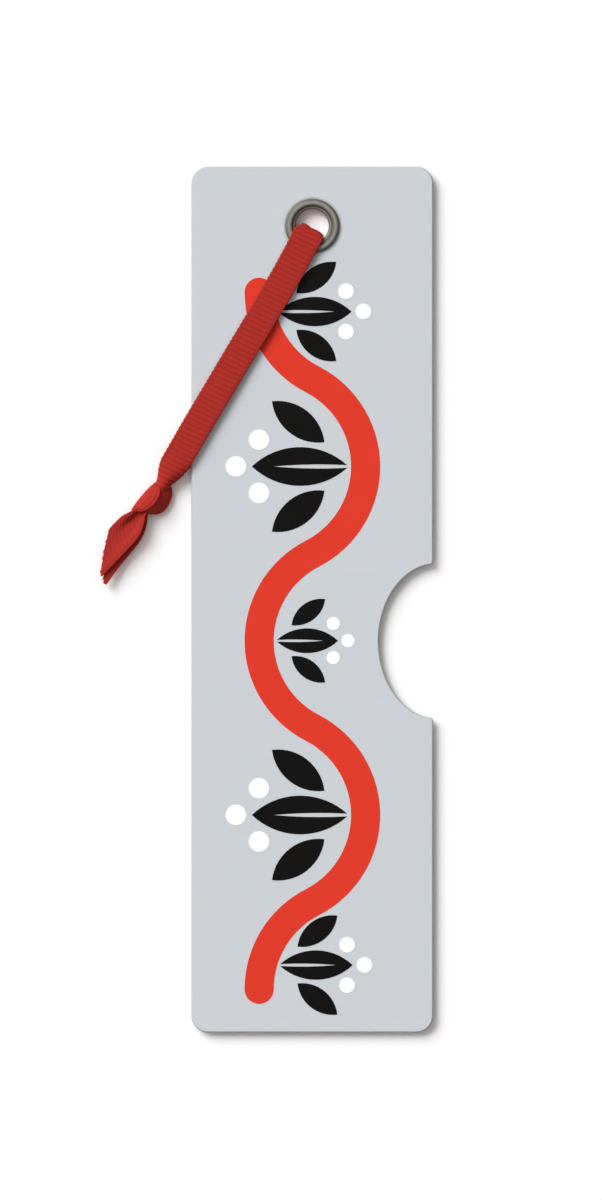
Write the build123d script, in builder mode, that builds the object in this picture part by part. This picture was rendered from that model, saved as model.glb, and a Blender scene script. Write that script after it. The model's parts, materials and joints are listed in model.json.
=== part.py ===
from build123d import *

import os
from math import asin, atan2, cos, hypot, radians, sin, sqrt, tan

# A flat bookmark lying face up on a table. Millimetres, +Z up, +Y towards the eyelet end.
# The origin is on the table, under the centre of the plate.

# Plate
plate_w = 50.0
plate_l = 179.0
plate_t = 1.0
corner_r = 3.5
edge_r = 0.35

# Nose notch: part of an ellipse, open at the right-hand edge
notch_depth = 11.2
notch_semi_x = 12.0
notch_semi_y = 15.9
notch_y = -8.63
notch_lip_r = 0.7

# Ribbon: one strip, folded through the eyelet, with a strand in front of the plate and one behind
ribbon_w = 6.0
ribbon_t = 0.4
ribbon_clear = 0.1
fold_s = 0.9
overhang = 5.5
taper_l = 5.3
neck_w = 3.5
neck_rise = 0.36
neck_clear = 0.35

# Knot: its far end is measured from the eyelet's axis, and it bends about its own rounded neck
knot_end = 69.0
knot_l = 7.3
knot_half_h = 2.1
hinge_r = 0.65
hinge_w = 2.6

# Tails: how far they reach past the knot
front_tail_l = 15.7
back_tail_l = 17.1

# Eyelet: barrel, beaded flange in front, rolled edge behind
eyelet_drop = 12.3
hole_play = 0.2
barrel_wall = 0.35
flange_w = 2.2
flange_h = 0.75
bead_w = 1.45
valley_h = 0.3
lip_h = 0.4
roll_w = 1.6
roll_h = 0.6
eyelet_fit = 0.05
rim_h = 0.1

# Print on the front face
ink_t = 0.06
ink_gap = 0.5
knockout = 0.3
ink_margin = 1.0
stem_w = 6.0
crest_x = 11.0
half_wave = 36.0
stem_top = 63.5
stem_crests = 5
leaf_l = 16.0
leaf_half = 3.2
side_leaf_l = 11.0
side_leaf_half = 2.3
side_leaf_turn = 38.0
side_leaf_step = (4.0, 4.0)
vein_start = -3.0
vein_l = 15.5
vein_half = 0.35
berry_r = 1.7
berry_gap = 0.9
berry_back = 3.8
berry_side = 4.4
# One sprig grows from each crest of the stem: its shift along Y from the crest, and its size
sprig_shifts = [-4.0, 0.0, 0.0, 0.0, 5.0]
sprig_sizes = [0.95, 1.25, 0.8, 1.25, 0.95]

# Heights above the table: the back strand, the rolled edge on it, the plate, the print, the flange
roll_z = ribbon_t + ribbon_clear
back_z = roll_z + roll_h
front_z = back_z + plate_t
mid_z = back_z + plate_t / 2
ink_z = front_z + ink_t
crest_z = front_z + flange_h
lie_back = ribbon_t / 2
lie_front = ink_z + ribbon_clear + ribbon_t / 2
lie_flange = crest_z + ribbon_clear + ribbon_t / 2
knot_z = knot_half_h

# Radii of the eyelet, from the folded ribbon's corners outwards
hole_r = hypot(ribbon_w / 2, fold_s + ribbon_t / 2) + hole_play
barrel_r = hole_r + barrel_wall
flange_r = hole_r + flange_w
roll_r = hole_r + roll_w
valley_r = flange_r - bead_w
eyelet_y = plate_l / 2 - eyelet_drop

# The stem's crests, from side to side down the plate, and the points where it turns between them
crests = [(crest_x * (-1 if i % 2 == 0 else 1), stem_top - half_wave * i) for i in range(stem_crests)]
turns = [(0, y - half_wave / 2) for x, y in crests[:-1]]
wave_r = (crest_x**2 + (half_wave / 2) ** 2) / (2 * crest_x)
sprigs = list(zip(crests, sprig_shifts, sprig_sizes))

# Stations along the ribbon, back from the knot's far end
hinge_s = knot_end - knot_l
strand_end = hinge_s - hinge_r - neck_clear
taper_s = strand_end - taper_l

# The ribbon lies along one straight line from the eyelet's axis, towards the lower left,
# turned until its end hangs over the plate's left-hand edge by the overhang
reach = strand_end - overhang
lie = asin(plate_w / 2 / hypot(reach, ribbon_w / 2)) + atan2(ribbon_w / 2, reach)
along = (-sin(lie), -cos(lie), 0)
across = (cos(lie), -sin(lie), 0)
side_plane = Plane(origin=(0, eyelet_y, 0), x_dir=along, z_dir=(-across[0], -across[1], 0))
plan_plane = Plane(origin=(0, eyelet_y, 0), x_dir=along, z_dir=(0, 0, 1))

# Routes of the ribbon's middle line, as distance from the eyelet's axis and height
front_route = [
    (fold_s, mid_z),
    (fold_s, lie_flange - 0.15),
    (2.0, lie_flange + 0.20),
    (4.4, lie_flange + 0.12),
    (9.0, lie_flange - 0.25),
    (18.0, lie_front + 0.03),
    (strand_end - 26.7, lie_front),
    (strand_end - 11.7, lie_front + 0.04),
    (strand_end - 3.9, lie_front + 0.05),
    (strand_end, knot_z + neck_rise),
]
back_route = [
    (fold_s, mid_z),
    (fold_s, lie_back + 0.25),
    (1.9, lie_back),
    (4.1, lie_back + 0.01),
    (8.5, lie_back),
    (17.0, lie_back + 0.02),
    (strand_end - 27.7, lie_back),
    (strand_end - 12.7, lie_back + 0.03),
    (strand_end - 4.7, lie_back + 0.25),
    (strand_end, knot_z - neck_rise),
]
front_tail_route = [
    (knot_end, knot_z + 0.40),
    (knot_end + 3.4, knot_z + 0.30),
    (knot_end + 7.8, knot_z - 0.45),
    (knot_end + 12.0, knot_z - 0.95),
    (knot_end + front_tail_l, knot_z - 1.05),
]
back_tail_route = [
    (knot_end, knot_z - 0.40),
    (knot_end + 3.4, knot_z - 0.85),
    (knot_end + 7.8, lie_back + 0.35),
    (knot_end + 12.2, lie_back + 0.05),
    (knot_end + back_tail_l, lie_back),
]

# Tail outlines from above, past the knot and across: the left selvedge, the cut, the right selvedge
front_tail_outline = [
    (0.0, -2.7),
    (2.6, -4.05),
    (6.2, -4.8),
    (7.6, -4.75),
    (front_tail_l, -1.45),
    (7.8, 0.25),
    (0.0, 0.15),
]
back_tail_outline = [
    (0.0, -2.5),
    (2.8, -3.6),
    (6.4, -4.1),
    (8.6, -3.9),
    (back_tail_l, -0.25),
    (8.2, 1.35),
    (0.0, 0.3),
]

# Knot sections: distance from its neck's axis, offset across, half width, half height
knot_sections = [
    (0.0, 0.0, hinge_w / 2, hinge_r),
    (0.8, 0.30, 1.9, 1.2),
    (2.5, 0.48, 2.6, 1.95),
    (4.0, 0.32, 2.68, knot_half_h),
    (5.7, -0.28, 2.3, 1.75),
    (knot_l, -1.2, 1.55, 0.95),
]


def bend_radii(route):
    """The radius of each corner: as large as the shorter of its two runs allows."""
    radii = []
    for before, corner, after in zip(route, route[1:], route[2:]):
        run_in = Vector(corner[0] - before[0], corner[1] - before[1])
        run_out = Vector(after[0] - corner[0], after[1] - corner[1])
        turn = radians(run_in.get_angle(run_out))
        radii.append(0.45 * min(run_in.length, run_out.length) / tan(turn / 2))
    return radii


def ribbon_strip(name, route, half_width, plan):
    """A flat strip along a route, cut to its outline seen from above."""
    radii = bend_radii(route)
    with BuildPart() as strip:
        with BuildSketch(side_plane):
            with BuildLine() as middle:
                FilletPolyline(*route, radius=radii)
            trace(line_width=ribbon_t)
        extrude(amount=half_width, both=True)
        section = 2 * half_width * ribbon_t
        length = middle.wires()[0].length
        print(name, "radii", [round(r, 2) for r in radii], "length", round(length, 2))
        print(name, "volume", round(strip.part.volume, 2), "section x length", round(section * length, 2))
        extrude(plan.sketch, amount=crest_z + plate_l, both=True, mode=Mode.INTERSECT)
    return strip


def plate_area(margin):
    """The plate's outline, drawn in by a margin at its edges and round the notch."""
    with BuildSketch(mode=Mode.PRIVATE) as area:
        Rectangle(plate_w - 2 * margin, plate_l - 2 * margin)
        fillet(area.vertices(), corner_r)
        with Locations((plate_w / 2 - notch_depth + notch_semi_x, notch_y)):
            Ellipse(notch_semi_x + margin, notch_semi_y + margin, mode=Mode.SUBTRACT)
    return area


def almond(length, half):
    """A leaf's outline from the origin along X: two arcs that meet at both ends."""
    with BuildSketch(mode=Mode.PRIVATE) as leaf:
        with BuildLine():
            ThreePointArc((0, 0), (length / 2, half), (length, 0))
            ThreePointArc((length, 0), (length / 2, -half), (0, 0))
        make_face()
    return leaf


def stem_area(width):
    """The stem's outline: equal arcs from side to side, traced at a width, with round ends."""
    with BuildSketch(mode=Mode.PRIVATE) as area:
        with BuildLine():
            TangentArc(crests[0], turns[0], tangent=(0, -1))
            for before, crest, after in zip(turns, crests[1:], turns[1:]):
                ThreePointArc(before, crest, after)
            TangentArc(crests[-1], turns[-1], tangent=(0, 1))
        trace(line_width=width)
        with Locations(crests[0], crests[-1]):
            Circle(width / 2)
    return area


def on_sprig(sprig, step, turn=0.0):
    """The plane of a leaf or a berry: a step from the foot of its sprig, turned from its heading."""
    (side, height), shift, size = sprig
    way = -1 if side > 0 else 1
    stem_x = crest_x - wave_r + sqrt(wave_r**2 - shift**2)
    foot = way * (stem_w / 2 + ink_gap - stem_x)
    origin = (foot + way * size * step[0], height + shift + way * size * step[1], front_z)
    heading = (way * cos(radians(turn)), way * sin(radians(turn)), 0)
    return Plane(origin=origin, x_dir=heading, z_dir=(0, 0, 1))


def tail_plan(outline):
    """A tail's outline from above: it widens from the knot and is cut off aslant."""
    points = [(knot_end + past, place) for past, place in outline]
    foot_left, left, shoulder, corner, tip, right, foot_right = points
    with BuildSketch(plan_plane) as plan:
        with BuildLine():
            ThreePointArc(foot_left, left, shoulder)
            Polyline(shoulder, corner, tip)
            ThreePointArc(tip, right, foot_right)
            Line(foot_right, foot_left)
        make_face()
    return plan


# The plate: a sheet with rounded corners and edges, the nose notch and the eyelet's hole
with BuildPart() as plate:
    with BuildSketch(Plane.XY.offset(back_z)) as outline:
        add(plate_area(0).sketch)
        mouth = outline.vertices().sort_by_distance((plate_w / 2, notch_y, 0))[:2]
        fillet(mouth, notch_lip_r)
    extrude(amount=plate_t)
    fillet(plate.edges().filter_by(Plane.XY), edge_r)
    with BuildSketch(Plane.XY.offset(back_z)):
        with Locations((0, eyelet_y)):
            Circle(barrel_r + eyelet_fit)
    extrude(amount=plate_t, mode=Mode.SUBTRACT)

# The eyelet: its flange and its rolled edge grip the plate's two faces
with BuildPart() as eyelet:
    with BuildSketch(Plane.XZ.offset(-eyelet_y)):
        with BuildLine():
            seat = Polyline(
                (roll_r, back_z - rim_h),
                (roll_r, back_z),
                (barrel_r, back_z),
                (barrel_r, front_z),
                (flange_r, front_z),
                (flange_r, front_z + rim_h),
            )
            bead_top = (flange_r - bead_w / 2, crest_z)
            bead = ThreePointArc(seat @ 1, bead_top, (valley_r, front_z + valley_h))
            groove = Line(bead @ 1, (barrel_r, front_z + lip_h))
            lip = TangentArc(groove @ 1, (hole_r, front_z + lip_h - barrel_wall), tangent=(-1, 0))
            bore = Line(lip @ 1, (hole_r, back_z - rim_h))
            ThreePointArc(bore @ 1, (hole_r + roll_w / 2, roll_z), seat @ 0)
        make_face()
    revolve(axis=Axis((0, eyelet_y, 0), (0, 0, 1)))

# Where ink may go: inside the plate's edges and clear of the eyelet's flange
with BuildSketch() as print_area:
    add(plate_area(ink_margin).sketch)
    with Locations((0, eyelet_y)):
        Circle(flange_r + ink_margin, mode=Mode.SUBTRACT)

# The other colours are also knocked out round the stem
with BuildSketch() as sprig_area:
    add(print_area.sketch)
    add(stem_area(stem_w + 2 * knockout).sketch, mode=Mode.SUBTRACT)

# The red stem
with BuildPart() as print_stem:
    with BuildSketch(Plane.XY.offset(front_z)):
        add(stem_area(stem_w).sketch)
        add(print_area.sketch, mode=Mode.INTERSECT)
    extrude(amount=ink_t)

# The black leaves: three to a sprig, the long one split by a bare vein that is open at its foot
side_x, side_y = side_leaf_step
leaf_forms = [
    ((0.0, 0.0), 0.0, leaf_l, leaf_half),
    ((side_x, side_y), side_leaf_turn, side_leaf_l, side_leaf_half),
    ((side_x, -side_y), -side_leaf_turn, side_leaf_l, side_leaf_half),
]
with BuildPart() as print_leaves:
    for sprig in sprigs:
        size = sprig[2]
        for step, turn, length, half in leaf_forms:
            with BuildSketch(on_sprig(sprig, step, turn)):
                add(almond(length * size, half * size).sketch)
            extrude(amount=ink_t)
        with BuildSketch(on_sprig(sprig, (vein_start, 0.0))):
            add(almond(vein_l * size, vein_half * size).sketch)
        extrude(amount=ink_t, mode=Mode.SUBTRACT)
    with BuildSketch(Plane.XY.offset(front_z)):
        add(sprig_area.sketch)
    extrude(amount=ink_t, mode=Mode.INTERSECT)

# The white berries: three round the tip of each sprig's long leaf
tip_x = leaf_l + berry_gap + berry_r
berry_steps = [(tip_x - berry_back, berry_side), (tip_x, 0.0), (tip_x - berry_back, -berry_side)]
with BuildPart() as print_berries:
    for sprig in sprigs:
        for step in berry_steps:
            with BuildSketch(on_sprig(sprig, step)):
                Circle(berry_r * sprig[2])
            extrude(amount=ink_t)
    with BuildSketch(Plane.XY.offset(front_z)):
        add(sprig_area.sketch)
    extrude(amount=ink_t, mode=Mode.INTERSECT)

# The strands' outline from above: full width, then drawn in to the knot's neck
with BuildSketch(plan_plane) as strand_plan:
    with BuildLine():
        selvedge = Line((0, ribbon_w / 2), (taper_s, ribbon_w / 2))
        gather = TangentArc(selvedge @ 1, (strand_end, neck_w / 2), tangent=(1, 0))
        Line(gather @ 1, (strand_end, 0))
        Line(selvedge @ 0, (0, 0))
        mirror(about=Plane.XZ)
    make_face()

front_strand = ribbon_strip("front strand", front_route, ribbon_w / 2, strand_plan)
back_strand = ribbon_strip("back strand", back_route, ribbon_w / 2, strand_plan)
front_tail = ribbon_strip("front tail", front_tail_route, ribbon_w, tail_plan(front_tail_outline))
back_tail = ribbon_strip("back tail", back_tail_route, ribbon_w, tail_plan(back_tail_outline))

# The knot: a barrel drawn in at both ends, whose rounded neck lets it lift
with BuildPart() as knot:
    for distance, offset_w, half_w, half_h in knot_sections:
        centre = Vector(0, eyelet_y, 0) + Vector(*along) * (hinge_s + distance)
        with BuildSketch(Plane(origin=centre, x_dir=across, z_dir=along)):
            with Locations((offset_w, knot_z)):
                Ellipse(half_w, half_h)
    loft()
    with BuildSketch(side_plane):
        with Locations((hinge_s, knot_z)):
            Circle(hinge_r)
    extrude(amount=hinge_w / 2, both=True)

pieces = {
    "plate": plate,
    "eyelet": eyelet,
    "print_stem": print_stem,
    "print_leaves": print_leaves,
    "print_berries": print_berries,
    "ribbon_front_strand": front_strand,
    "ribbon_back_strand": back_strand,
    "ribbon_knot": knot,
    "ribbon_front_tail": front_tail,
    "ribbon_back_tail": back_tail,
}
os.makedirs("parts", exist_ok=True)
for name, piece in pieces.items():
    piece.part.label = name
    export_step(piece.part, f"parts/{name}.step")
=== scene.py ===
# %% [markdown]
# A flat metal bookmark lies face up on a pale table. It has an eyelet, a nose notch in its right-hand
# edge, a printed vine, and a red grosgrain ribbon that is folded through the eyelet and knotted.
# The packed model gives the true sizes and the two hinges. Everything here is dressed around it,
# in metres, in the same frame, so that no piece needs to be fitted afterwards.

# %% Load the packed model
import json
import math

import bmesh
import bpy
import numpy as np
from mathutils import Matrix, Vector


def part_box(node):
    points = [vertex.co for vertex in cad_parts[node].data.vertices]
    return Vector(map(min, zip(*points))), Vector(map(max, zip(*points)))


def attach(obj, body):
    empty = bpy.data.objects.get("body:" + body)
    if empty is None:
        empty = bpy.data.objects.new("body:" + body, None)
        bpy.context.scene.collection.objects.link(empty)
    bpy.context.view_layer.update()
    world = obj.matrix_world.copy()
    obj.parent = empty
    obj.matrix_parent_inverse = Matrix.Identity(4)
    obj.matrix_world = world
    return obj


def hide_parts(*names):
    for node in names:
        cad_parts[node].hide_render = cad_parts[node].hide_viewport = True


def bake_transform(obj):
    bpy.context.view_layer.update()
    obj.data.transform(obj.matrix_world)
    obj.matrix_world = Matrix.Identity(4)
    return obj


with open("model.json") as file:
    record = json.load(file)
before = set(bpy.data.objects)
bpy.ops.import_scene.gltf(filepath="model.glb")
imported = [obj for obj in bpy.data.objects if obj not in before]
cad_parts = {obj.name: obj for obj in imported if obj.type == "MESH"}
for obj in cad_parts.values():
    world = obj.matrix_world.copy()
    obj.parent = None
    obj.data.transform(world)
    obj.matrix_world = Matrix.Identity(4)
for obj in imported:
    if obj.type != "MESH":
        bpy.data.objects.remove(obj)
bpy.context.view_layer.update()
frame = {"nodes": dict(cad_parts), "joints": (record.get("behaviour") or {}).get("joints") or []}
mm = 0.001

# %% [markdown]
# The picture looks straight down, with the eyelet end at its top. The plate is 866 of the picture's
# 1200 pixels long, which gives the height of the view, and its centre is a little right of the picture's
# centre. A long lens from about a metre keeps the long edges parallel, as a product photograph has them.

# %% Camera
plate_low, plate_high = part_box("plate")
plate_pixels, picture_pixels = 866.48, 1200
view_height = (plate_high.y - plate_low.y) * picture_pixels / plate_pixels
view_centre = (-2.335 * mm, -0.093 * mm)
lens_mm, sensor_mm = 150.0, 36.0


def put(name, data):
    """A new object in the scene, made of a mesh, a camera or a lamp."""
    thing = bpy.data.objects.new(name, data)
    bpy.context.scene.collection.objects.link(thing)
    return thing


camera_data = bpy.data.cameras.new("camera")
camera_data.sensor_fit = "VERTICAL"
camera_data.sensor_height = sensor_mm
camera_data.lens = lens_mm
camera = put("camera", camera_data)
camera.location = (*view_centre, plate_high.z + view_height * lens_mm / sensor_mm)
bpy.context.scene.camera = camera
bpy.context.scene.view_settings.view_transform = "Standard"
print("camera at", [round(x, 4) for x in camera.location])

# %% [markdown]
# The ribbon lies along one straight line from the eyelet. The two hinges of the packed model mark that
# line: the swing at the eyelet and the lift at the knot's neck. Places on the ribbon are easiest to think
# of as a distance along this line, a distance across it and a height, so one function turns these three
# into points.

# %% The ribbon's own directions
joints = {joint["name"]: joint for joint in frame["joints"]}
eyelet_at = np.array(joints["ribbon_swing"]["pos_m"])
neck_at = np.array(joints["tassel_lift"]["pos_m"])
across_way = -np.array(joints["tassel_lift"]["axis"], float)
along_way = np.array([across_way[1], -across_way[0], 0.0])
neck_s = float((neck_at - eyelet_at) @ along_way)


def place(s, w, z):
    """Points from distances along and across the ribbon's line and heights above the table."""
    base = np.array([eyelet_at[0], eyelet_at[1], 0.0])
    up = np.array([0.0, 0.0, 1.0])
    s, w, z = (np.asarray(x, float)[..., None] for x in (s, w, z))
    return base + s * along_way + w * across_way + z * up


print("neck", round(neck_s / mm, 2), "mm from the eyelet's axis")

# %% [markdown]
# A ribbon is a flat cord. Each half of it leaves the eyelet's throat and runs to the knot, one half in
# front of the plate and one behind. It could be one long bent strip, but two halves match how the real one
# is folded. The route is a short list of given points, and a NURBS curve of order 3 draws one smooth line
# near them. The mesh later follows points read from that curve. The front half spans from the flange to the
# knot, a little above the print, as stiff grosgrain does.

# %% Routes of the two ribbon halves
front_points = [
    (0.54, 1.6), (0.54, 3.0), (1.65, 3.5), (4.2, 3.4), (9.0, 3.28),
    (18.0, 3.3), (34.0, 3.45), (49.0, 3.58), (56.8, 3.6), (60.7, 3.5), (62.6, 3.3), (64.0, 2.9),
]
back_points = [
    (0.54, 1.6), (0.54, 0.5), (1.55, 0.25), (3.9, 0.246), (8.5, 0.25),
    (17.0, 0.28), (33.0, 0.27), (48.0, 0.29), (56.0, 0.42), (60.7, 1.0), (62.6, 1.2), (64.0, 1.3),
]


def smooth_route(name, points):
    """The points of a NURBS line drawn by a route's points, as distance along and height."""
    curve = bpy.data.curves.new(name, "CURVE")
    curve.dimensions = "3D"
    curve.resolution_u = 24
    spline = curve.splines.new("NURBS")
    spline.points.add(len(points) - 1)
    for point, (s, z) in zip(spline.points, points):
        point.co = (s * mm, 0.0, z * mm, 1.0)
    spline.order_u = 3
    spline.use_endpoint_u = True
    holder = bpy.data.objects.new(name, curve)
    line = bpy.data.meshes.new_from_object(holder)
    found = np.array([vertex.co for vertex in line.vertices])
    bpy.data.objects.remove(holder)
    return found[:, 0], found[:, 2]


def line_length(s, z):
    """The running length along a line, from its start."""
    steps = np.hypot(np.diff(s), np.diff(z))
    return np.concatenate([[0.0], np.cumsum(steps)])


front_line = smooth_route("front_route", front_points)
back_line = smooth_route("back_route", back_points)
for name, line in (("front", front_line), ("back", back_line)):
    print(name, "half", len(line[0]), "points", round(line_length(*line)[-1] / mm, 2), "mm")

# %% [markdown]
# Materials and node trees both need sums on sockets. A small class wraps a socket, and its operators add
# Math nodes, so that a formula reads as a formula. One method makes any other node: its settings come
# first, then its sockets, each a number or another wire. Both serve shader trees and Geometry Nodes alike.

# %% Wires and benches for node trees


class Wire:
    """A socket that can be added, multiplied and raised to a power like a number."""

    def __init__(self, bench, socket):
        self.bench = bench
        self.socket = socket

    def math(self, operation, *others):
        sockets = dict(enumerate((self, *others)))
        return self.bench.wire(self.bench.add("ShaderNodeMath", {"operation": operation}, sockets))

    def __add__(self, other):
        return self.math("ADD", other)

    def __sub__(self, other):
        return self.math("SUBTRACT", other)

    def __mul__(self, other):
        return self.math("MULTIPLY", other)

    def __truediv__(self, other):
        return self.math("DIVIDE", other)

    def __pow__(self, other):
        return self.math("POWER", other)

    def __rsub__(self, other):
        return (self * -1.0) + other

    __radd__ = __add__
    __rmul__ = __mul__

    def clamp(self):
        return self.math("MAXIMUM", 0.0).math("MINIMUM", 1.0)

    def rise(self, low, high):
        """0 below low, 1 above high, and a smooth step between them."""
        settings = {"interpolation_type": "SMOOTHSTEP"}
        sockets = {"Value": self, "From Min": low, "From Max": high}
        return self.bench.wire(self.bench.add("ShaderNodeMapRange", settings, sockets))


class Bench:
    """A node tree with one way to add nodes to it."""

    def __init__(self, tree):
        self.tree = tree

    def add(self, kind, settings=None, sockets=None):
        node = self.tree.nodes.new(kind)
        for name, value in (settings or {}).items():
            setattr(node, name, value)
        for key, value in (sockets or {}).items():
            if isinstance(value, Wire):
                self.tree.links.new(value.socket, node.inputs[key])
            else:
                node.inputs[key].default_value = value
        return node

    def wire(self, node, key=0):
        return Wire(self, node.outputs[key])


reflected = [name.strip("_") for name in vars(Wire) if name.startswith("__r")]
print("reflected forms of a wire:", ", ".join(reflected))

# %% [markdown]
# Every finish here is one Principled shader. What is the same all over a surface is a constant on the
# shader's own socket, and what changes over the surface comes in on a wire. A few small functions cover
# this: a new material, a mix of two colours, a noise, a link to a socket, and a colour in screen values.

# %% Helpers for finishes


def new_material(name, **constants):
    """A material, its bench and its Principled shader, with the constants set on the shader's sockets."""
    material = bpy.data.materials.new(name)
    material.use_nodes = True
    bench = Bench(material.node_tree)
    shader = material.node_tree.nodes["Principled BSDF"]
    for label, value in constants.items():
        shader.inputs[label.replace("_", " ")].default_value = value
    return material, bench, shader


def mix_colour(bench, factor, first, second):
    """A colour between two colours, which are tuples or wires."""
    factor_in, first_in, second_in, colour_out = 0, 6, 7, 2
    sockets = {factor_in: factor, first_in: first, second_in: second}
    return bench.wire(bench.add("ShaderNodeMix", {"data_type": "RGBA"}, sockets), colour_out)


def noise(bench, place_wire, scale, detail):
    """A noise over a place on the surface."""
    sockets = {"Vector": place_wire, "Scale": scale, "Detail": detail}
    return bench.wire(bench.add("ShaderNodeTexNoise", {}, sockets))


def feed(bench, wire, shader, label):
    """Links a wire to one of the shader's sockets."""
    bench.tree.links.new(wire.socket, shader.inputs[label])


def srgb(red, green, blue):
    """A linear colour from screen values of 0 to 255."""
    def linear(level):
        share = level / 255
        return share / 12.92 if share <= 0.04045 else ((share + 0.055) / 1.055) ** 2.4
    return (linear(red), linear(green), linear(blue), 1.0)


print("mid grey is", round(srgb(128, 128, 128)[0], 3), "in linear light")

# %% [markdown]
# Grosgrain is woven from fine warp threads over thick weft cords, so it has ribs straight across it and a
# thin plain selvedge along each edge. The cloth's colour follows its ribs: a painted highlight on the
# crests and painted shade between them, over the shading that the real ribs get. The pattern must follow
# the cloth, not the table, so it reads three attributes that every ribbon mesh carries: the place along the
# cloth, the place across it, and the height of the rib.

# %% The ribbon's finish
ribbon_red = srgb(188, 43, 33)
# The dark colour serves both the cloth's uneven tone and the painted shade in the rib valleys.
ribbon_dark_tone_and_shade = srgb(140, 41, 35)
ribbon_sheen = srgb(235, 120, 105)
thread_pitch = 0.17
edge_line_starts, edge_line_ends = (2.22, 2.38), (2.44, 2.6)
edge_line_depth, weave_shade = 0.4, 0.08
grosgrain, bench, shader = new_material(
    "red_grosgrain", Specular_IOR_Level=0.15, Sheen_Weight=0.05, Sheen_Roughness=0.45,
    Sheen_Tint=ribbon_sheen,
)


def cloth_value(label):
    """One of the cloth's own attributes."""
    return bench.wire(bench.add("ShaderNodeAttribute", {"attribute_name": label}), "Fac")


rib = cloth_value("ridge")
cloth_along = cloth_value("along")
cloth_across = cloth_value("across")
cloth_place = bench.wire(bench.add("ShaderNodeCombineXYZ", {}, {"X": cloth_along, "Y": cloth_across}))
uneven = noise(bench, cloth_place, scale=0.55, detail=3.0)
fibre = noise(bench, cloth_place, scale=9.0, detail=2.0)
thread = (cloth_across * (math.tau / thread_pitch)).math("SINE") * 0.5 + 0.5
from_middle = cloth_across.math("ABSOLUTE")
edge_line = from_middle.rise(*edge_line_starts) * (1.0 - from_middle.rise(*edge_line_ends))
# The rib term is painted highlight on the crests and painted shade in the valleys; the noises and the
# threads are the cloth's own tone.
weave_light = rib * 0.34 + uneven * 0.45 + thread * 0.10 + fibre * 0.16
light_share = (weave_light - edge_line * edge_line_depth - weave_shade).clamp()
feed(bench, mix_colour(bench, light_share, ribbon_dark_tone_and_shade, ribbon_red), shader, "Base Color")
feed(bench, 0.70 + fibre * 0.2, shader, "Roughness")
weave = thread * 0.5 + fibre * 0.6
bump = bench.add("ShaderNodeBump", {}, {"Strength": 0.35, "Distance": 0.03 * mm, "Height": weave})
feed(bench, bench.wire(bump), shader, "Normal")
print("finish", grosgrain.name)

# %% [markdown]
# The ribs are real geometry, not paint. Each ribbon piece starts as a middle sheet without thickness, and
# a Geometry Nodes tree turns it into cloth: it lifts a copy along the sheet's normals to each side, adds
# the rib wave to both, and joins them where the thickness runs out at the edges. A Solidify modifier could
# thicken the sheet too, but it knows nothing of ribs. One tree serves every ribbon piece.

# %% The grosgrain tree
rib_pitch = 1.03
ribbon_half = 3.0
rib_level = 0.6
rib_roundness = 0.45
selvedge_soft = 0.3
merge_gap = 0.0001 * mm
cloth_inputs = {
    "Thickness": ("NodeSocketFloat", 0.38 * mm),
    "Rib pitch": ("NodeSocketFloat", rib_pitch),
    "Rib depth": ("NodeSocketFloat", 0.11 * mm),
    "Plain edge": ("NodeSocketFloat", 2.4),
    "Material": ("NodeSocketMaterial", grosgrain),
}


def grosgrain_tree():
    """A tree that makes ribbed cloth of a sheet that carries along, across and body."""
    tree = bpy.data.node_groups.new("grosgrain", "GeometryNodeTree")
    tree.interface.new_socket("Sheet", in_out="INPUT", socket_type="NodeSocketGeometry")
    for label, (kind, _) in cloth_inputs.items():
        tree.interface.new_socket(label, in_out="INPUT", socket_type=kind)
    tree.interface.new_socket("Cloth", in_out="OUTPUT", socket_type="NodeSocketGeometry")
    bench = Bench(tree)
    given = bench.add("NodeGroupInput")

    def attribute(label):
        node = bench.add("GeometryNodeInputNamedAttribute", {"data_type": "FLOAT"}, {"Name": label})
        return bench.wire(node, "Attribute")

    def size(label):
        return bench.wire(given, label)

    turn = attribute("along") / size("Rib pitch") * math.tau
    wave = turn.math("COSINE") * 0.5 + 0.5
    plain_from = size("Plain edge")
    plain = attribute("across").math("ABSOLUTE").rise(plain_from, plain_from + selvedge_soft)
    ridge = (wave**rib_roundness) * (1.0 - plain) + plain * rib_level
    lift = attribute("body") * (size("Thickness") * 0.5 + size("Rib depth") * (ridge - rib_level))
    sheet = bench.wire(bench.add(
        "GeometryNodeStoreNamedAttribute", {"data_type": "FLOAT"},
        {"Geometry": bench.wire(given, "Sheet"), "Name": "ridge", "Value": ridge},
    ))
    normal = bench.wire(bench.add("GeometryNodeInputNormal"))
    faces = []
    for way in (1.0, -1.0):
        scaling = {"Vector": normal, "Scale": lift * way}
        offset = bench.wire(bench.add("ShaderNodeVectorMath", {"operation": "SCALE"}, scaling))
        side = bench.add("GeometryNodeSetPosition", {}, {"Geometry": sheet, "Offset": offset})
        faces.append(bench.wire(side))
    faces[1] = bench.wire(bench.add("GeometryNodeFlipFaces", {}, {"Mesh": faces[1]}))
    joined = bench.add("GeometryNodeJoinGeometry")
    for side in reversed(faces):
        tree.links.new(side.socket, joined.inputs[0])
    merging = {"Geometry": bench.wire(joined), "Distance": merge_gap}
    shut = bench.wire(bench.add("GeometryNodeMergeByDistance", {}, merging))
    smooth = bench.wire(bench.add("GeometryNodeSetShadeSmooth", {}, {"Geometry": shut}))
    real = bench.wire(bench.add("GeometryNodeRealizeInstances", {}, {"Geometry": smooth}))
    painted = bench.add("GeometryNodeSetMaterial", {}, {"Geometry": real, "Material": size("Material")})
    result = bench.add("NodeGroupOutput")
    tree.links.new(painted.outputs[0], result.inputs[0])
    return tree


cloth_tree = grosgrain_tree()
print("tree", cloth_tree.name, "with", len(cloth_tree.nodes), "nodes")

# %% [markdown]
# Every ribbon piece is a grid: rows along the cloth and columns across it. Columns crowd together near the
# edges, where the cloth rounds off. The first and last rows come in pairs, almost on top of each other, so
# that the cloth ends in a blunt cut instead of a knife edge. The body attribute says how thick the cloth
# is at each point.

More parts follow.
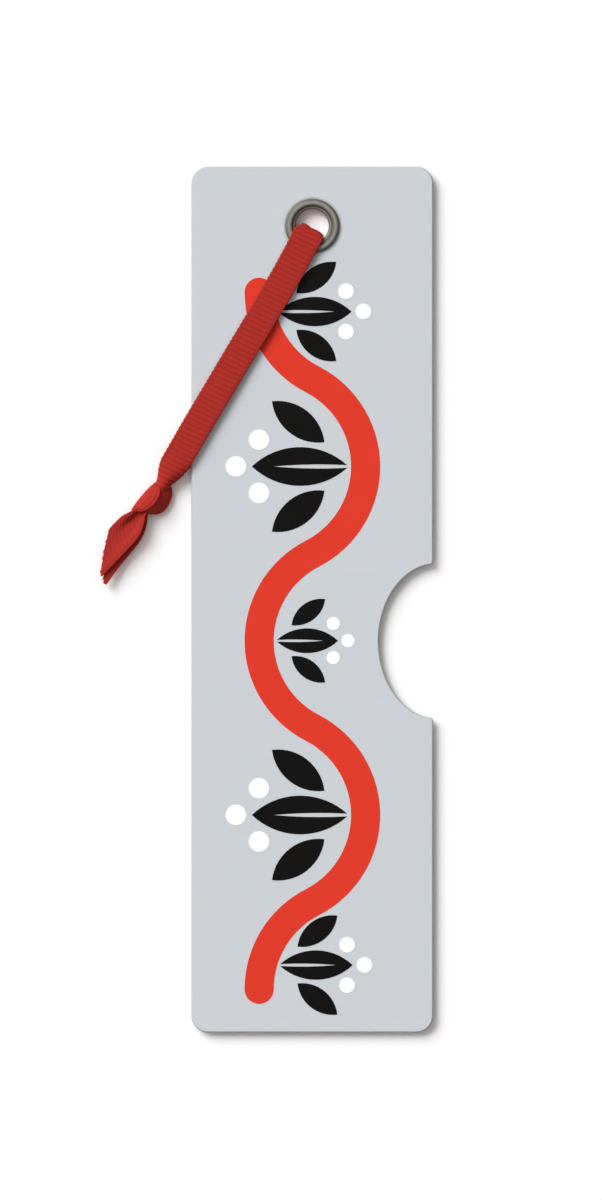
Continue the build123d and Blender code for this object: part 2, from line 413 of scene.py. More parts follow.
# %% From a grid to a ribbon piece
column_count = 41
columns = np.sin(np.linspace(-math.pi / 2, math.pi / 2, column_count))
edge_round = 0.3
cut_gap = 0.002


def through(points, x):
    """A smooth line through given points, which never swings past them."""
    px, py = np.array(points, float).T
    run = np.diff(px)
    slope = np.diff(py) / run
    lean = np.zeros_like(py)
    lean[0], lean[-1] = slope[0], slope[-1]
    product = slope[:-1] * slope[1:]
    total = np.where(product > 0, slope[:-1] + slope[1:], 1.0)
    lean[1:-1] = np.where(product > 0, 2 * product / total, 0.0)
    i = np.clip(np.searchsorted(px, x) - 1, 0, len(run) - 1)
    t = np.clip((x - px[i]) / run[i], 0.0, 1.0)
    start = (1 + 2 * t) * (1 - t) ** 2 * py[i] + t * (1 - t) ** 2 * run[i] * lean[i]
    end = t**2 * (3 - 2 * t) * py[i + 1] - t**2 * (1 - t) * run[i] * lean[i + 1]
    return start + end


def with_cuts(rows):
    """Rows along the cloth, with a second row just inside each end for a blunt cut."""
    return np.concatenate([[rows[0], rows[0] + cut_gap], rows[1:-1], [rows[-1] - cut_gap, rows[-1]]])


def fullness(row_count):
    """How thick the cloth is, from 0 at an edge to 1: round at the selvedges, blunt at the two cuts."""
    inside = np.clip(ribbon_half * (1 - np.abs(columns)) / edge_round, 0, 1)
    body = np.tile(np.sqrt(1 - (1 - inside) ** 2), (row_count, 1))
    body[[0, -1]] = 0.0
    return body


def ribbon_piece(name, points, along, **changed_inputs):
    """A grid of points made into ribbed cloth: a plain mesh with the grosgrain finish."""
    rows, cols = along.shape
    across = np.tile(ribbon_half * columns, (rows, 1))
    index = np.arange(rows * cols).reshape(rows, cols)
    quads = np.stack([index[:-1, :-1], index[1:, :-1], index[1:, 1:], index[:-1, 1:]], -1)
    mesh = bpy.data.meshes.new(name)
    mesh.from_pydata(points.reshape(-1, 3).tolist(), [], quads.reshape(-1, 4).tolist())
    for label, values in (("along", along), ("across", across), ("body", fullness(rows))):
        layer = mesh.attributes.new(label, "FLOAT", "POINT")
        layer.data.foreach_set("value", values.astype(np.float32).ravel())
    piece = put(name, mesh)
    modifier = piece.modifiers.new("grosgrain", "NODES")
    modifier.node_group = cloth_tree
    identifiers = {item.name: item.identifier for item in cloth_tree.interface.items_tree}
    for label, (_, value) in cloth_inputs.items():
        modifier[identifiers[label]] = changed_inputs.get(label.replace(" ", "_"), value)
    bpy.context.view_layer.update()
    ready = piece.evaluated_get(bpy.context.evaluated_depsgraph_get())
    piece.data = bpy.data.meshes.new_from_object(ready)
    piece.modifiers.clear()
    print(name, len(piece.data.polygons), "faces, rows by columns", rows, cols)
    return piece


print("grid of", column_count, "columns, the first two", round(columns[1] - columns[0], 4), "apart")

# %% [markdown]
# The two halves follow their routes. At the eyelet the fold is pinched, so the corners there are drawn in.
# At the knot each half is gathered: its middle rises and its edges fall, and the outline narrows to the
# neck. Between them the cloth sways a little to one side, and its edges swell at each rib. The widths are
# judged at a few places, and a smooth line runs through them, because a formula would hide what each
# number stands for.

# %% The two ribbon halves
rows_per_rib = 10
neck_arch = math.radians(80)
sway = [
    (0.0, 0.0), (4.0, 0.2), (8.0, 0.36), (14.0, 0.47), (22.0, 0.4), (30.0, 0.26), (42.0, 0.1), (50.0, 0.0),
    (66.0, 0.0),
]
left_half = [
    (0.0, 2.15), (1.4, 2.2), (1.9, 2.5), (2.4, 2.85), (3.0, 3.06), (3.7, 3.1), (6.5, 3.06), (55.4, 2.96),
    (57.8, 2.94), (59.7, 2.47), (61.0, 1.9), (62.4, 1.42), (66.0, 1.3),
]
right_half = [
    (0.0, 2.9), (1.4, 2.95), (1.9, 3.1), (2.5, 3.22), (3.4, 3.2), (6.5, 3.14), (55.4, 3.05), (57.9, 2.74),
    (60.1, 1.98), (61.5, 1.45), (62.4, 1.4), (66.0, 1.25),
]
left_fall = [
    (0.0, 0.0), (1.8, 0.0), (6.0, 0.05), (54.5, 0.07), (57.5, 0.25), (59.5, 0.6), (61.5, 0.85), (66.0, 1.0),
]
right_fall = [
    (0.0, 0.0), (1.8, 0.0), (6.0, 0.07), (52.0, 0.1), (56.5, 0.45), (58.5, 0.95), (60.0, 1.4), (61.5, 1.65),
    (66.0, 1.75),
]
full_arch_fall = 0.8
scallop_share = 0.018
rib_lean, rib_bow, rib_wander, wander_rate = 0.2, 0.1, 0.1, 0.55
crinkle_depth, crinkle_from, crinkle_reach = 0.09, 1.2, 1.5


def by_side(left, right, rows):
    """A value for each row and column, from one list for the left edge and one for the right."""
    return np.where(columns < 0, through(left, rows)[:, None], through(right, rows)[:, None])


def ribbon_half_piece(name, line, up, gather):
    """One half of the ribbon along its line. It faces up where up is 1, and down where it is -1."""
    line_s, line_z = line
    run = line_length(line_s, line_z) / mm
    rows = with_cuts(np.arange(0.0, run[-1], rib_pitch / rows_per_rib))
    s = np.interp(rows, run, line_s / mm)
    z = np.interp(rows, run, line_z / mm)
    way_s, way_z = np.gradient(s, rows), np.gradient(z, rows)
    size = np.hypot(way_s, way_z)
    out_s, out_z = -up * way_z / size, up * way_s / size
    fall = gather * by_side(left_fall, right_fall, rows)
    half = by_side(left_half, right_half, rows)
    wander = rib_wander * np.sin(rows * wander_rate)[:, None]
    along = rows[:, None] + (rib_lean * columns + rib_bow * columns**2 + wander * columns)
    scallop = 1 + scallop_share * np.cos(math.tau * along / rib_pitch)
    arched = np.clip(fall / full_arch_fall, 0, 1)
    bow = (1 - arched) * columns + arched * np.sin(neck_arch * columns) / math.sin(neck_arch)
    drop = fall * (1 - np.cos(neck_arch * columns)) / (1 - math.cos(neck_arch))
    w = through(sway, rows)[:, None] + half * bow * scallop
    fading = np.exp(-np.maximum(rows - crinkle_from, 0) / crinkle_reach)[:, None]
    crinkle = crinkle_depth * fading * np.cos(math.tau * columns)
    s = s[:, None] + crinkle - drop * out_s[:, None]
    z = z[:, None] - drop * out_z[:, None]
    return ribbon_piece(name, place(s * mm, w * mm, z * mm), along)


front_half = ribbon_half_piece("ribbon_front_half", front_line, up=1.0, gather=1.0)
back_half = ribbon_half_piece("ribbon_back_half", back_line, up=-1.0, gather=0.62)

# %% [markdown]
# The knot is one turn of both halves round themselves. Seen from outside, it is a band as wide as the
# ribbon that is wound about the neck, so its ribs run from end to end of the knot. Tying a real overhand
# knot in a simulation would take long and never lie the same way twice, so the band is wound by a formula.
# It makes a little more than one turn: the outer end lies over the start, and its edge is the line that
# splits the knot into a light band and a dark lobe. Its outline is given at a few stations from the neck,
# as a share of the band's width, a distance along the ribbon and one across it.

# %% The knot
knot_left = [
    (0.0, 62.0, -1.42), (0.12, 62.7, -1.6), (0.3, 63.9, -1.98), (0.5, 65.4, -2.32), (0.7, 67.0, -2.58),
    (0.85, 68.4, -2.75), (1.0, 69.6, -2.85),
]
knot_right = [
    (0.0, 61.15, 1.5), (0.12, 61.75, 2.12), (0.3, 63.1, 2.82), (0.5, 64.8, 3.08), (0.7, 66.3, 2.85),
    (0.85, 67.3, 2.2), (1.0, 68.3, 0.75),
]
knot_crest = [(0.0, 2.4), (0.12, 2.9), (0.3, 3.65), (0.5, 3.8), (0.7, 3.72), (0.85, 3.5), (1.0, 3.05)]
knot_foot = [(0.0, 0.95), (0.12, 0.65), (0.3, 0.42), (0.5, 0.4), (0.7, 0.42), (0.85, 0.5), (1.0, 0.75)]
knot_left_height = [(0.0, 1.6), (0.12, 1.75), (0.3, 2.1), (1.0, 2.1)]
knot_split = [
    (0.0, -0.3), (0.15, -0.25), (0.26, -0.04), (0.44, 0.08), (0.6, 0.1), (0.88, 0.0), (1.0, -0.15),
]
right_height, foot_place = 1.25, 0.05
knot_middle = 2.1
lobe_power = 1.85
turns_wound, wrap_rows = 1.16, 260
wrap_step, outer_offset, least_reach = 0.5, 0.2, 0.8
knot_rib_depth = 0.08 * mm


def knot_section(turn, v):
    """The knot's outer form at a share of the turn, from the split down the left side and round."""
    crest, foot, split = through(knot_crest, v), through(knot_foot, v), through(knot_split, v)
    left_height = through(knot_left_height, v)
    quarter = np.floor(turn * 4) % 4
    t = (turn * 4 - np.floor(turn * 4)) * math.pi / 2
    power = np.where(quarter == 3, lobe_power, 1.0)
    first = np.clip(np.cos(t), 0, 1) ** power
    second = np.clip(np.sin(t), 0, 1) ** power
    quarters = [quarter == 0, quarter == 1, quarter == 2, quarter == 3]
    x = np.select(quarters, [
        split - (1 + split) * second,
        foot_place - (1 + foot_place) * first,
        foot_place + (1 - foot_place) * second,
        split + (1 - split) * first,
    ])
    z = np.select(quarters, [
        left_height + (crest - left_height) * first,
        foot + (left_height - foot) * (1 - second),
        foot + (right_height - foot) * (1 - first),
        right_height + (crest - right_height) * second,
    ])
    return x, z


def stations(points, v):
    """The distances along and across the ribbon of one side of the knot."""
    return [through([(point[0], point[k]) for point in points], v) for k in (1, 2)]


def knot_piece():
    """The knot's band, wound over its own start."""
    turn = np.linspace(0.0, turns_wound, wrap_rows)[:, None]
    v = (columns[None, :] + 1) / 2
    x, z = knot_section(turn % 1.0, v)
    left_s, left_w = stations(knot_left, v)
    right_s, right_w = stations(knot_right, v)
    half_s, half_w = (right_s - left_s) / 2, (right_w - left_w) / 2
    reach = np.hypot(x * np.hypot(half_s, half_w), z - knot_middle)
    inward = 1 - (wrap_step * turn - outer_offset) / np.maximum(reach, least_reach)
    s = (left_s + right_s) / 2 + half_s * x * inward
    w = (left_w + right_w) / 2 + half_w * x * inward
    z = knot_middle + (z - knot_middle) * inward
    midline = len(columns) // 2
    along = np.tile(line_length(w[:, midline], z[:, midline])[:, None], (1, len(columns)))
    points = place(s * mm, w * mm, z * mm)[:, ::-1]
    return ribbon_piece("knot_wrap", points, along, Rib_depth=knot_rib_depth)


knot = knot_piece()

# %% [markdown]
# Two tails come out of the knot, one on the other, and both are cut off aslant. Each is a strip that
# leaves the knot gathered, with raised walls, and lies flatter towards its tip. The lower tail is longer.
# Its right-hand edge falls towards the table instead, and shows as a darker strip. The cloth is pulled
# aslant by the knot, so the ribs lie aslant too. The cut runs from rib to rib, so it has small uneven
# teeth. A cloth simulation could fold such tails, but a grid shaped by a few named lists keeps their
# outline exact.

# %% The tails
tail_start = (69.0, -1.2)
left_wall = [(0.0, 0.0), (0.15, 0.08), (0.45, 0.75), (0.65, 1.0), (1.0, 0.9)]
raised_wall = [(0.0, 0.0), (0.4, 0.2), (0.85, 0.75), (1.0, 0.9)]
fallen_wall = [(0.0, 0.0), (0.3, -0.06), (1.0, -1.0)]
rib_skew = 5.0
tail_rows = 170
inside_knot = 1.6
pleat_depth, pleat_reach, pleat_turn = 0.16, 2.2, 7.5
tooth_least, tooth_more, tooth_rate = 0.3, 0.5, 1.9
even_skew = 0.36
tail_rib_depth = 0.05 * mm


def tail_piece(name, turn, left, right, height, left_rise, right_rise, right_wall, cut):
    """A tail from the knot. Its lists run along it, and cut says where its two edges and its tip end."""
    lean = math.radians(turn)
    run_s, run_w = math.cos(lean), -math.sin(lean)
    cut_left, cut_right, tip = cut
    percent = with_cuts(np.linspace(0.0, 100.0, tail_rows))
    end = cut_left + (cut_right - cut_left) * (columns + 1) / 2
    tooth = tooth_least + tooth_more * np.sin(tooth_rate * end + turn) ** 2
    end = np.minimum(end + tooth * ((end / rib_pitch) % 1.0), tip)
    a = -inside_knot + percent[:, None] / 100 * (end + inside_knot)
    b = columns * np.where(columns < 0, through(left, a), through(right, a))
    pleat = pleat_depth * np.exp(-np.maximum(a, 0) / pleat_reach) * np.cos(columns * pleat_turn)
    left_side, right_side = through(left_wall, -columns), through(right_wall, columns)
    wall = np.where(columns < 0, through(left_rise, a) * left_side, through(right_rise, a) * right_side)
    z = through(height, a) + wall + pleat
    s = tail_start[0] + a * run_s - b * run_w
    w = tail_start[1] + a * run_w + b * run_s
    from_right = (1 - columns) / 2
    along = a + rib_skew * (even_skew * from_right + (1 - even_skew) * from_right**2)
    return ribbon_piece(name, place(s * mm, w * mm, z * mm), along, Rib_depth=tail_rib_depth)


front_tail = tail_piece(
    "tail_front", 12.8,
    left=[(-1.6, 1.0), (0.0, 1.25), (1.05, 1.5), (1.95, 1.83), (3.6, 2.3), (5.9, 2.4), (16.0, 2.25)],
    right=[(-1.6, 0.9), (-0.27, 1.3), (0.8, 2.0), (2.9, 3.0), (4.8, 3.4), (8.0, 3.4), (16.0, 3.25)],
    height=[(-1.6, 2.3), (0.0, 2.2), (3.0, 2.25), (6.5, 2.4), (11.0, 2.55), (16.0, 2.65)],
    left_rise=[(-1.6, 0.5), (0.0, 0.9), (2.2, 1.1), (4.2, 0.55), (6.5, 0.12), (16.0, 0.0)],
    right_rise=[(-1.6, 0.5), (0.0, 0.9), (2.5, 1.1), (5.0, 0.8), (9.0, 0.6), (16.0, 0.4)],
    right_wall=raised_wall,
    cut=(6.6, 15.45, 15.15),
)
back_tail = tail_piece(
    "tail_back", 4.2,
    left=[(-1.6, 0.9), (0.0, 1.1), (2.0, 1.6), (4.0, 2.1), (6.5, 2.3), (18.0, 2.4)],
    right=[
        (-1.6, 1.0), (0.0, 1.75), (1.0, 2.35), (3.2, 3.1), (5.5, 3.3), (8.0, 3.1), (12.0, 2.75),
        (18.0, 2.6),
    ],
    height=[(-1.6, 1.7), (0.0, 1.65), (3.0, 1.75), (6.5, 1.92), (11.0, 2.1), (18.0, 2.2)],
    left_rise=[(-1.6, 0.3), (0.0, 0.6), (2.2, 0.7), (4.2, 0.3), (6.5, 0.0), (18.0, 0.0)],
    right_rise=[(-1.6, 0.1), (0.0, 0.2), (3.0, 0.4), (8.0, 0.4), (13.0, 0.15), (18.0, 0.0)],
    right_wall=fallen_wall,
    cut=(8.2, 17.6, 16.4),
)

# %% [markdown]
# The plate is a stiff sheet. Its outline is a rectangle with round corners and an elliptical notch whose
# lips are rounded too. The same outline could come from a curve object, but arcs worked out here meet each
# other exactly, and the small arc of each lip is found by halving an angle until it touches both lines.

# %% The plate's outline
plate_half_w, plate_half_l = plate_high.x, plate_high.y
corner_r = 3.5 * mm
notch_depth, notch_y = 11.2 * mm, -8.63 * mm
notch_half_x, notch_half_y = 12.0 * mm, 15.9 * mm
lip_r = 0.7 * mm
corner_points, bay_points, lip_points = 24, 90, 14
halvings = 60


def arc(centre, radius, start, end, count):
    """Points on an arc, with angles in degrees."""
    angle = np.radians(np.linspace(start, end, count))
    return np.stack([centre[0] + radius * np.cos(angle), centre[1] + radius * np.sin(angle)], -1)


def notch_lip():
    """The centre of the upper lip's small arc, and the ellipse's angle where that arc meets it."""
    notch_x = plate_half_w - notch_depth + notch_half_x
    low, high = 90.0, 180.0
    for _ in range(halvings):
        middle = (low + high) / 2
        turn = math.radians(middle)
        point = np.array([notch_x + notch_half_x * math.cos(turn), notch_half_y * math.sin(turn)])
        inward = np.array([math.cos(turn) / notch_half_x, math.sin(turn) / notch_half_y])
        centre = point + lip_r * inward / np.hypot(*inward)
        low, high = (middle, high) if centre[0] > plate_half_w - lip_r else (low, middle)
    return notch_x, centre, middle


def plate_outline():
    """The outline, counter-clockwise, from the lower right corner."""
    notch_x, lip, meet = notch_lip()
    toward = math.degrees(math.atan2(notch_half_y * math.sin(math.radians(meet)) - lip[1],
                                     notch_x + notch_half_x * math.cos(math.radians(meet)) - lip[0]))
    angle = np.radians(np.linspace(360 - meet, meet, bay_points))
    bay = np.stack([notch_x + notch_half_x * np.cos(angle), notch_y + notch_half_y * np.sin(angle)], -1)
    low_lip = arc((lip[0], notch_y - lip[1]), lip_r, 0, -toward, lip_points)
    high_lip = arc((lip[0], notch_y + lip[1]), lip_r, toward, 0, lip_points)
    x, y = plate_half_w - corner_r, plate_half_l - corner_r
    lower_right, upper_right, upper_left, lower_left = (
        arc(centre, corner_r, start, start + 90, corner_points)
        for centre, start in (((x, -y), -90), ((x, y), 0), ((-x, y), 90), ((-x, -y), 180))
    )
    return np.concatenate([lower_right, low_lip, bay[1:-1], high_lip, upper_right, upper_left, lower_left])


outline = plate_outline()
print("outline of", len(outline), "points")

# %% [markdown]
# The sheet's edges are softened on both faces. A Bevel modifier could do that, but here the rounding has
# to be known point by point, because the finish differs there. So rings of the outline step inwards and
# up over each edge on a rounded line, every ring keeps how far out it lies as an attribute, and flat caps
# close the two faces around the eyelet's hole.

# %% The plate
edge_in, edge_down = 0.34 * mm, 0.5 * mm
edge_power = 1.2
edge_steps, hole_points = 9, 96
hole_r = 3.795 * mm


def outward(points):
    """The outward direction at each point of a counter-clockwise outline."""
    before, after = np.roll(points, 1, 0), np.roll(points, -1, 0)
    way_in, way_out = points - before, after - points
    way_in /= np.hypot(*way_in.T)[:, None]
    way_out /= np.hypot(*way_out.T)[:, None]
    way = way_in + way_out
    way /= np.hypot(*way.T)[:, None]
    return np.stack([way[:, 1], -way[:, 0]], -1)


def edge_rings():
    """How far in and how high each ring of the rounded edge lies, from the lower face to the upper."""
    steps = np.radians(np.linspace(0, 90, edge_steps))
    inset = edge_in * (1 - np.clip(np.cos(steps), 0, 1) ** edge_power)
    rise = edge_down * np.sin(steps) ** edge_power
    lower = [(d, plate_low.z + edge_down - h) for d, h in zip(inset[::-1], rise[::-1])]
    upper = [(d, plate_high.z - edge_down + h) for d, h in zip(inset[1:], rise[1:])]
    return lower + upper


def join_loops(shape, lower, upper):
    """A band of smooth faces between two closed loops of vertices."""
    for i in range(len(lower)):
        j = (i + 1) % len(lower)
        shape.faces.new((lower[i], lower[j], upper[j], upper[i])).smooth = True


def plate_piece():
    """The plate: rings over the rounded edge, and two flat faces with the eyelet's hole."""
    way = outward(outline)
    hole = arc(eyelet_at[:2], hole_r, 0, 360, hole_points + 1)[:-1]
    shape = bmesh.new()
    # This layer says how far out each ring lies; the finish darkens the edge by it as painted shade.
    edge_reach_layer = shape.verts.layers.float.new("edge")
    loops = []
    for d, z in edge_rings():
        loops.append([shape.verts.new((x, y, z)) for x, y in outline - way * d])
        for vertex in loops[-1]:
            vertex[edge_reach_layer] = 1 - d / edge_in
    for lower, upper in zip(loops, loops[1:]):
        join_loops(shape, lower, upper)
    low_rim, top_rim = ([shape.verts.new((x, y, z)) for x, y in hole] for z in (plate_low.z, plate_high.z))
    join_loops(shape, top_rim, low_rim)
    for loop, rim in ((loops[0], low_rim), (loops[-1], top_rim)):
        edges = [shape.edges.get((v[i], v[i - 1])) for v in (loop, rim) for i in range(len(v))]
        bmesh.ops.triangle_fill(shape, use_beauty=True, use_dissolve=False, edges=edges)
    bmesh.ops.recalc_face_normals(shape, faces=shape.faces)
    mesh = bpy.data.meshes.new("plate_sheet")
    shape.to_mesh(mesh)
    shape.free()
    print("plate_sheet", len(mesh.polygons), "faces")
    return put("plate_sheet", mesh)


plate = plate_piece()

# %% [markdown]
# The plate is pale metal under a thin satin coat. Rolling leaves very fine lines across it, which show as a
# faint grain in its colour and its gloss. A stretched noise gives the grain, a slower one the handling
# marks. Both read the plate's own coordinates, so they stay where they are from any side. The rounded edge
# is duller than the faces, and its colour is a little darker: painted shade, which deepens the dark line
# along the edges. Around the eyelet a dark soft ring is painted on the face: a painted contact shadow.

# %% The plate's finish
plate_pale = srgb(203, 208, 212)
plate_grey = srgb(197, 202, 206)
# The edge's darker colour is painted shade that deepens the dark line along the edges.
plate_edge_shade = srgb(180, 181, 182)
# A painted shadow: the dark soft ring round the eyelet stands in for its contact shadow.
plate_eyelet_shadow = srgb(138, 139, 138)
eyelet_shadow_ring, eyelet_shadow_share = (5.3 * mm, 6.3 * mm), 0.75
dull_shaded_span = (0.02, 0.3)
eyelet_top = (*eyelet_at[:2], plate_high.z)
grain_stretch = (45.0, 1500.0, 900.0)
satin, bench, shader = new_material("satin_plate", Specular_IOR_Level=0.3)
plate_place = bench.wire(bench.add("ShaderNodeTexCoord"), "Object")
stretching = {"Vector": plate_place, "Scale": grain_stretch}
stretched = bench.wire(bench.add("ShaderNodeMapping", {}, stretching))
grain = noise(bench, stretched, scale=1.0, detail=3.0)
cloud = noise(bench, plate_place, scale=55.0, detail=3.0)
face_colour = mix_colour(bench, (grain * 0.7 + cloud * 0.3).clamp(), plate_grey, plate_pale)
ends = {0: plate_place, 1: eyelet_top}
from_eyelet = bench.wire(bench.add("ShaderNodeVectorMath", {"operation": "DISTANCE"}, ends), "Value")
# Painted contact shadow on the face round the eyelet.
painted_eyelet_shadow = 1.0 - from_eyelet.rise(*eyelet_shadow_ring)
face_colour = mix_colour(bench, painted_eyelet_shadow * eyelet_shadow_share, face_colour, plate_eyelet_shadow)
edge = bench.wire(bench.add("ShaderNodeAttribute", {"attribute_name": "edge"}), "Fac")
# Over the rounded edge the finish turns rougher and less metallic, and its colour darker as painted shade.
dull_shaded_edge = edge.rise(*dull_shaded_span)
feed(bench, mix_colour(bench, dull_shaded_edge, face_colour, plate_edge_shade), shader, "Base Color")
feed(bench, 0.1 - dull_shaded_edge * 0.1, shader, "Metallic")
feed(bench, 0.66 + grain * 0.10 + cloud * 0.06 + dull_shaded_edge * 0.1, shader, "Roughness")
bump = bench.add("ShaderNodeBump", {}, {"Strength": 0.12, "Distance": 0.01 * mm, "Height": grain})
feed(bench, bench.wire(bump), shader, "Normal")
plate.data.materials.append(satin)
print("finish", satin.name)

# %% [markdown]
# The eyelet is drawn from one piece of metal and rolled over behind. Turned about its axis, its section is
# a broad bead in front, a round inner lip that runs down into the bore, and a rolled edge at the back. A
# Screw modifier could turn it, but a lathe is one short loop: the section's points are copied round the
# axis. The bead is flatter on top than a circle, so its light ring stays near the middle of it.

# %% The eyelet
bore_r, barrel_r, flange_r, roll_r = 3.395, 3.745, 5.595, 4.995
front_z, back_z = plate_high.z / mm, plate_low.z / mm
crest_r, crest_h, groove_r, groove_h = 4.78, 0.72, 4.05, 0.32
inner_lip_r, inner_lip_h, inner_lip_from = 0.5, -0.2, 85
rim_h, roll_h = 0.12, 0.48
bead_power = 0.55
bead_steps, inner_lip_steps, roll_steps, turned_steps = 37, 14, 23, 144
sharp_corner = math.radians(40)


def eyelet_section():
    """Radius and height of the closed section, from the rim over the bead to the bore and back."""
    turn = np.radians(np.linspace(0, 180, bead_steps))
    side = np.sign(np.cos(turn)) * np.abs(np.cos(turn)) ** bead_power
    foot = np.where(side > 0, rim_h, groove_h)
    radius = crest_r + side * np.where(side > 0, flange_r - crest_r, crest_r - groove_r)
    height = front_z + foot + np.clip(np.sin(turn), 0, 1) ** bead_power * (crest_h - foot)
    bead = np.stack([radius, height], -1)
    lip_centre = (bore_r + inner_lip_r, front_z + inner_lip_h)
    lip = arc(lip_centre, inner_lip_r, inner_lip_from, 180, inner_lip_steps)
    roll = arc((0, 0), 1, 180, 360, roll_steps) * [(roll_r - bore_r) / 2, roll_h]
    roll = roll + [(roll_r + bore_r) / 2, back_z - rim_h]
    seat = np.array([(roll_r, back_z), (barrel_r, back_z), (barrel_r, front_z), (flange_r, front_z)])
    return np.concatenate([bead, lip, roll, seat])


def eyelet_piece():
    """The section turned about the eyelet's axis."""
    section = eyelet_section() * mm
    angle = np.linspace(0, math.tau, turned_steps, endpoint=False)[:, None]
    x = eyelet_at[0] + section[:, 0] * np.cos(angle)
    y = eyelet_at[1] + section[:, 0] * np.sin(angle)
    z = np.tile(section[:, 1], (turned_steps, 1))
    points = np.stack([x, y, z], -1)
    index = np.arange(points.shape[0] * points.shape[1]).reshape(points.shape[:2])
    after = np.roll(index, -1, 0)
    ahead, both = np.roll(index, -1, 1), np.roll(after, -1, 1)
    quads = np.stack([index, after, both, ahead], -1).reshape(-1, 4)
    mesh = bpy.data.meshes.new("eyelet_ring")
    mesh.from_pydata(points.reshape(-1, 3).tolist(), [], quads.tolist())
    mesh.shade_smooth()
    mesh.set_sharp_from_angle(angle=sharp_corner)
    print("eyelet_ring", len(mesh.polygons), "faces")
    return put("eyelet_ring", mesh)


eyelet = eyelet_piece()

# %% [markdown]
# The eyelet's metal is a dark satin gunmetal, with fine rings left by the press tool. A lighter colour is
# painted along the bead's crest and on the lip as a painted highlight, and the ribbon keeps the bore
# bright. The groove and the rim stay dark. All of this goes round the eyelet's axis, so the finish reads
# how far a point is from that axis: a Mapping node puts the axis at the origin first.

# %% The eyelet's finish
gunmetal_dark = srgb(102, 98, 91)
# The lighter gunmetal colours are those of the painted highlight.
gunmetal_low, gunmetal_high = srgb(148, 144, 138), srgb(166, 162, 156)
gunmetal_bore = srgb(226, 224, 221)
bore_ends = (3.4 * mm, 3.46 * mm)
lip_starts, lip_ends = (3.45 * mm, 3.6 * mm), (3.8 * mm, 4.0 * mm)
crest_starts, crest_ends = (4.25 * mm, 4.8 * mm), (4.85 * mm, 5.25 * mm)
crest_fade, lip_share = 0.75, 0.6
gunmetal, bench, shader = new_material("satin_gunmetal", Metallic=1.0)
ring_place = bench.wire(bench.add("ShaderNodeTexCoord"), "Object")
centring = {"Vector": ring_place, "Location": (*eyelet_at[:2], 0.0)}
centred = bench.wire(bench.add("ShaderNodeMapping", {"vector_type": "TEXTURE"}, centring))
parts = bench.add("ShaderNodeSeparateXYZ", {}, {"Vector": centred})
across_x, across_y = bench.wire(parts, "X"), bench.wire(parts, "Y")
radius = (across_x * across_x + across_y * across_y) ** 0.5
ring_noise = {"W": radius, "Scale": 14000.0}
tool_rings = bench.wire(bench.add("ShaderNodeTexNoise", {"noise_dimensions": "1D"}, ring_noise))
smudge = noise(bench, ring_place, scale=700.0, detail=4.0)
bright = mix_colour(bench, smudge, gunmetal_low, gunmetal_high)
# Painted highlight: a lighter ring on the bead's crest that falls back to the dark colour on its outer
# side, and a fainter one on the lip.
crest = radius.rise(*crest_starts) * (1.0 - radius.rise(*crest_ends) * crest_fade)
lip = radius.rise(*lip_starts) * (1.0 - radius.rise(*lip_ends))
crest_and_lip_highlight = (crest + lip * lip_share).clamp()
front_colour = mix_colour(bench, crest_and_lip_highlight, gunmetal_dark, bright)
bore = 1.0 - radius.rise(*bore_ends)
feed(bench, mix_colour(bench, bore, front_colour, gunmetal_bore), shader, "Base Color")
feed(bench, 0.56 + tool_rings * 0.10 + smudge * 0.08, shader, "Roughness")
bump = bench.add("ShaderNodeBump", {}, {"Strength": 0.1, "Distance": 0.01 * mm, "Height": tool_rings})
feed(bench, bench.wire(bump), shader, "Normal")
eyelet.data.materials.append(gunmetal)
print("finish", gunmetal.name)

# %% [markdown]
# The vine is printed in three inks. An ink film is thin and a little glossy, and its colour isn't quite
# even: it is thinner here and there, and the mesh it was pressed through leaves a fine texture. The packed
# solids of the print already have the right shape, so they stay, and each gets an ink of its own.

# %% The inks


def ink(name, full, thin):
    """A printed ink between its full and its thin colour."""
    material, bench, shader = new_material(name, Specular_IOR_Level=0.07)
    spot = bench.wire(bench.add("ShaderNodeTexCoord"), "Object")
    film = noise(bench, spot, scale=160.0, detail=4.0)
    dots = noise(bench, spot, scale=5200.0, detail=1.0)
    feed(bench, mix_colour(bench, (film * 0.7 + dots * 0.3).clamp(), full, thin), shader, "Base Color")
    feed(bench, 0.42 + film * 0.12, shader, "Roughness")
    bump = bench.add("ShaderNodeBump", {}, {"Strength": 0.1, "Distance": 0.01 * mm, "Height": dots})
    feed(bench, bench.wire(bump), shader, "Normal")
    return material


inks = {
    "print_stem": ink("red_ink", srgb(217, 54, 38), srgb(222, 60, 43)),
    "print_leaves": ink("black_ink", srgb(11, 10, 9), srgb(17, 16, 15)),
    "print_berries": ink("white_ink", srgb(246, 246, 245), srgb(252, 252, 251)),
}
for node, material in inks.items():
    data = frame["nodes"][node].data
    data.materials.clear()
    data.materials.append(material)
    print(node, "printed with", material.name)

# %% [markdown]
# The bookmark lies on a white table that is much larger than the view. It is one face.

# %% The table
table_half = 2.0
table_white = (0.96, 0.96, 0.96, 1.0)
table_corners = [(x * table_half, y * table_half, 0) for x, y in ((-1, -1), (1, -1), (1, 1), (-1, 1))]
table_mesh = bpy.data.meshes.new("table_top")
table_mesh.from_pydata(table_corners, [], [(0, 1, 2, 3)])
table = put("table_top", table_mesh)
white = new_material("white_table", Roughness=0.9, Specular_IOR_Level=0.1, Base_Color=table_white)[0]
table_mesh.materials.append(white)
print("table of", 2 * table_half, "m")

# %% [markdown]
# The light comes from the upper left. One lamp as wide as a softbox gives the soft shadow on the right and
# below: a sun lamp with a large angle does that evenly all over the view. A sky fills the shadows. It is
# bright around a point that leans from the zenith towards the lamp and dim on the other side, as in a
# studio with white walls on one side, so the edges that face away from the lamp stay dark.

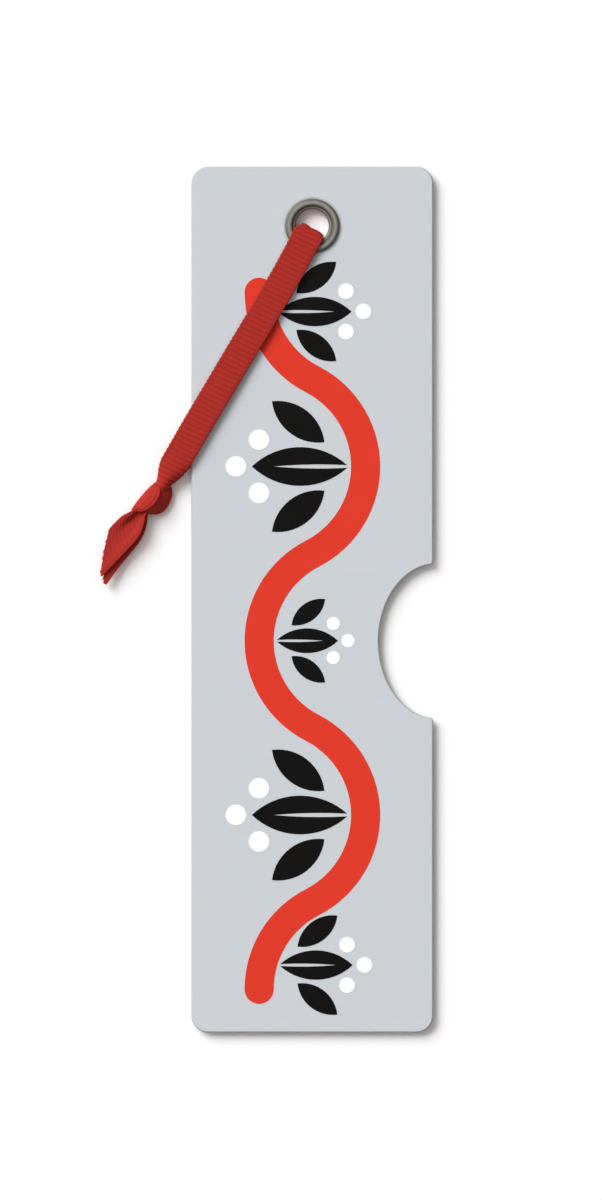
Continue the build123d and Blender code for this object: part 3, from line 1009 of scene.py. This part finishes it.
# %% Sky and lamp
sky = bpy.data.worlds.new("studio")
sky.use_nodes = True
bpy.context.scene.world = sky
bench = Bench(sky.node_tree)
looking = bench.wire(bench.add("ShaderNodeTexCoord"), "Generated")
way = bench.add("ShaderNodeSeparateXYZ", {}, {"Vector": looking})
sky_lean = math.radians(35)
glow_span = (-0.1, 0.9)
sky_dark, sky_bright = (0.02, 0.019, 0.018, 1.0), (0.73, 0.69, 0.68, 1.0)
lamp_side = (bench.wire(way, "Y") - bench.wire(way, "X")) * (math.sin(sky_lean) / math.sqrt(2))
height = bench.wire(way, "Z") * math.cos(sky_lean) + lamp_side
glow = mix_colour(bench, height.rise(*glow_span), sky_dark, sky_bright)
sky.node_tree.links.new(glow.socket, sky.node_tree.nodes["Background"].inputs["Color"])

lamp_data = bpy.data.lights.new("soft_lamp", "SUN")
lamp_data.angle = math.radians(36)
lamp_data.energy = 2.78
lamp_data.color = (0.97, 1.0, 1.01)
lamp = put("soft_lamp", lamp_data)
lamp.location = (-0.52, 0.52, 0.66)
lamp.rotation_euler = (-lamp.location).to_track_quat("-Z", "Y").to_euler()
print("lamp", lamp_data.energy, "W/m2 from", [round(x, 2) for x in lamp.location])

# %% [markdown]
# The plate, the eyelet, the knot and the tails are each tied to the body that they move with. The plate and
# the eyelet stay with the plate, and the knot and the tails lift as one. The two ribbon halves are only
# baked where they lie, and the packed strands that they stand for are hidden.

# %% Tie the pieces to their bodies
for piece, node, body, slot in (
    (plate, "plate", "plate_body", "plate"),
    (eyelet, "eyelet", "plate_body", "eyelet"),
    (knot, "ribbon_knot", "tassel", "ribbon"),
    (front_tail, "ribbon_front_tail", "tassel", "ribbon"),
    (back_tail, "ribbon_back_tail", "tassel", "ribbon"),
):
    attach(piece, body)
    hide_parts(node)
bend_before, bend_after = 3.2 * mm, 0.8 * mm
bend_from = place(neck_s - bend_before, 0, neck_at[2])
bend_to = place(neck_s + bend_after, 0, neck_at[2])
for piece, node, line in (
    (front_half, "ribbon_front_strand", front_line),
    (back_half, "ribbon_back_strand", back_line),
):
    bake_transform(piece)
    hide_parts(node)
    path = place(line[0], np.zeros_like(line[0]), line[1])
    print(piece.name, "bends over", round((bend_before + bend_after) / mm, 1), "mm at the neck")

# %% [markdown]
